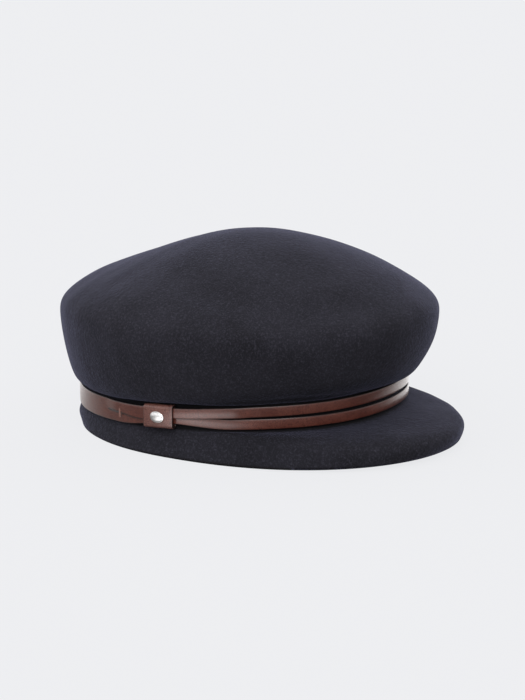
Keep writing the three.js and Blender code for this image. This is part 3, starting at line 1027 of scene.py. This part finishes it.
studio = {
    "floorSize": 9.0,
    "floorColour": (0.05, 0.05, 0.05, 1),
    "floorGlow": (0.970, 0.976, 1.0, 1),
    "glowInView": 0.811,
    "glowOnCap": 0.39,
    "glowMirrored": (0.15, 1.6),
    "mirrorSides": (-0.10, 0.06),
    "mirrorFrom": (-0.43, -0.90, 0.0),
    "mirrorFade": (0.06, 0.16),
    "patchStrength": 5.0,
    "patchPlace": (-0.176, -0.010, 0.0),
    "patchRadius": 0.090,
    "skyColour": (0.95, 0.96, 1.0, 1),
    "skyLow": 1.1,
    "skyHigh": 1.15,
    "skyStart": 0.1,
    "frontDim": 0.5,
    "frontFrom": (-0.35, -0.92, 0.1),
    "frontStart": 0.2,
    "windowStrength": 0.2,
    "windowFrom": (-0.74, 0.65, 0.17),
    "windowStart": 0.72,
    "keyStrength": 1.75,
    "keySpread": 45,
    "keyFrom": (-0.84, -0.50, 0.80),
    "cameraFrom": (-1.2782, -0.8814, 0.4136),
    "cameraAt": (0.0036, 0.00265, 0.0450),
    "lens": 139.1,
}


def makeStudio():
    half = studio["floorSize"] / 2
    corners = np.array([(-half, -half, 0), (half, -half, 0), (half, half, 0), (-half, half, 0)])
    floor = addMesh("pale_floor", corners, [np.array([[0, 1, 2, 3]])], smooth=False)
    material, tree, shader = newMaterial(
        "pale_floor_paper", Roughness=1.0, Specular_IOR_Level=0.0, Base_Color=studio["floorColour"],
        Emission_Color=studio["floorGlow"],
    )
    # the paper glows rather than only reflecting: it looks white but throws less light on the cap; glossy
    # rays see it dark in front, brighter from the keeper's side to the other, and with a bright glowing patch
    # under the keeper that the leather reflects
    path = addNode(tree, "ShaderNodeLightPath")
    spot = addNode(tree, "ShaderNodeTexCoord").outputs["Object"]
    inFront = addNode(tree, "ShaderNodeVectorMath", {
        0: spot,
        1: studio["mirrorFrom"],
    }, operation="DOT_PRODUCT")
    aside = addNode(tree, "ShaderNodeMapRange", {
        "Value": addNode(tree, "ShaderNodeSeparateXYZ", {0: spot}).outputs["X"],
        "From Min": studio["mirrorSides"][0],
        "From Max": studio["mirrorSides"][1],
        "To Min": studio["glowMirrored"][0],
        "To Max": studio["glowMirrored"][1],
    })
    mirrored = addNode(tree, "ShaderNodeMapRange", {
        "Value": inFront.outputs["Value"],
        "From Min": studio["mirrorFade"][0],
        "From Max": studio["mirrorFade"][1],
        "To Min": aside.outputs["Result"],
        "To Max": 0.0,
    })
    away = addNode(tree, "ShaderNodeVectorMath", {
        0: spot,
        1: studio["patchPlace"],
    }, operation="DISTANCE")
    patch = addNode(tree, "ShaderNodeMapRange", {
        "Value": away.outputs["Value"],
        "From Min": studio["patchRadius"],
        "From Max": 0.0,
        "To Max": studio["patchStrength"],
    }, interpolation_type="SMOOTHSTEP")
    shine = addNode(tree, "ShaderNodeMath", {
        0: mirrored.outputs["Result"],
        1: patch.outputs["Result"],
    }, operation="ADD")
    thrown = addNode(tree, "ShaderNodeMapRange", {
        "Value": path.outputs["Is Glossy Ray"],
        "To Min": studio["glowOnCap"],
        "To Max": shine.outputs[0],
    })
    glow = addNode(tree, "ShaderNodeMapRange", {
        "Value": path.outputs["Is Camera Ray"],
        "To Min": thrown.outputs["Result"],
        "To Max": studio["glowInView"],
    })
    tree.links.new(glow.outputs["Result"], shader.inputs["Emission Strength"])
    floor.data.materials.append(material)

    world = bpy.data.worlds.new("studio_sky")
    world.use_nodes = True
    sky = world.node_tree.nodes["Background"]
    sky.inputs["Color"].default_value = studio["skyColour"]
    # dimmer in front of the cap, where the studio has no lamp
    direction = addNode(world.node_tree, "ShaderNodeTexCoord").outputs["Generated"]
    facing = addNode(world.node_tree, "ShaderNodeVectorMath", {
        0: direction,
        1: studio["frontFrom"],
    }, operation="DOT_PRODUCT")
    dimmed = addNode(world.node_tree, "ShaderNodeMapRange", {
        "Value": facing.outputs["Value"],
        "From Min": studio["frontStart"],
        "From Max": 1.0,
        "To Min": 1.0,
        "To Max": 1 - studio["frontDim"],
    })
    upward = addNode(world.node_tree, "ShaderNodeSeparateXYZ", {0: direction}).outputs["Z"]
    overhead = addNode(world.node_tree, "ShaderNodeMapRange", {
        "Value": upward,
        "From Min": studio["skyStart"],
        "From Max": 1.0,
        "To Min": studio["skyLow"],
        "To Max": studio["skyHigh"],
    })
    beside = addNode(world.node_tree, "ShaderNodeVectorMath", {
        0: direction,
        1: studio["windowFrom"],
    }, operation="DOT_PRODUCT")
    window = addNode(world.node_tree, "ShaderNodeMapRange", {
        "Value": beside.outputs["Value"],
        "From Min": studio["windowStart"],
        "From Max": 1.0,
        "To Max": studio["windowStrength"],
    }, interpolation_type="SMOOTHSTEP")
    both = addNode(world.node_tree, "ShaderNodeMath", {
        0: dimmed.outputs["Result"],
        1: overhead.outputs["Result"],
        2: window.outputs["Result"],
    }, operation="MULTIPLY_ADD")
    world.node_tree.links.new(both.outputs[0], sky.inputs["Strength"])
    bpy.context.scene.world = world

    key = bpy.data.lights.new("key_light", "SUN")
    key.energy = studio["keyStrength"]
    key.angle = np.radians(studio["keySpread"])
    keyObject = bpy.data.objects.new("key_light", key)
    bpy.context.collection.objects.link(keyObject)
    aim(keyObject, studio["keyFrom"], (0, 0, 0))


def aim(item, start, target):  # looks from start to target along its own -Z
    item.location = start
    direction = Vector(target) - Vector(start)
    item.rotation_euler = direction.to_track_quat("-Z", "Y").to_euler()


makeStudio()

camera = bpy.data.objects.new("camera", bpy.data.cameras.new("camera"))
bpy.context.collection.objects.link(camera)
camera.data.lens = studio["lens"]
camera.data.sensor_width = 36
aim(camera, studio["cameraFrom"], studio["cameraAt"])
bpy.context.scene.camera = camera
bpy.context.scene.view_settings.view_transform = "Standard"
print("studio ready")
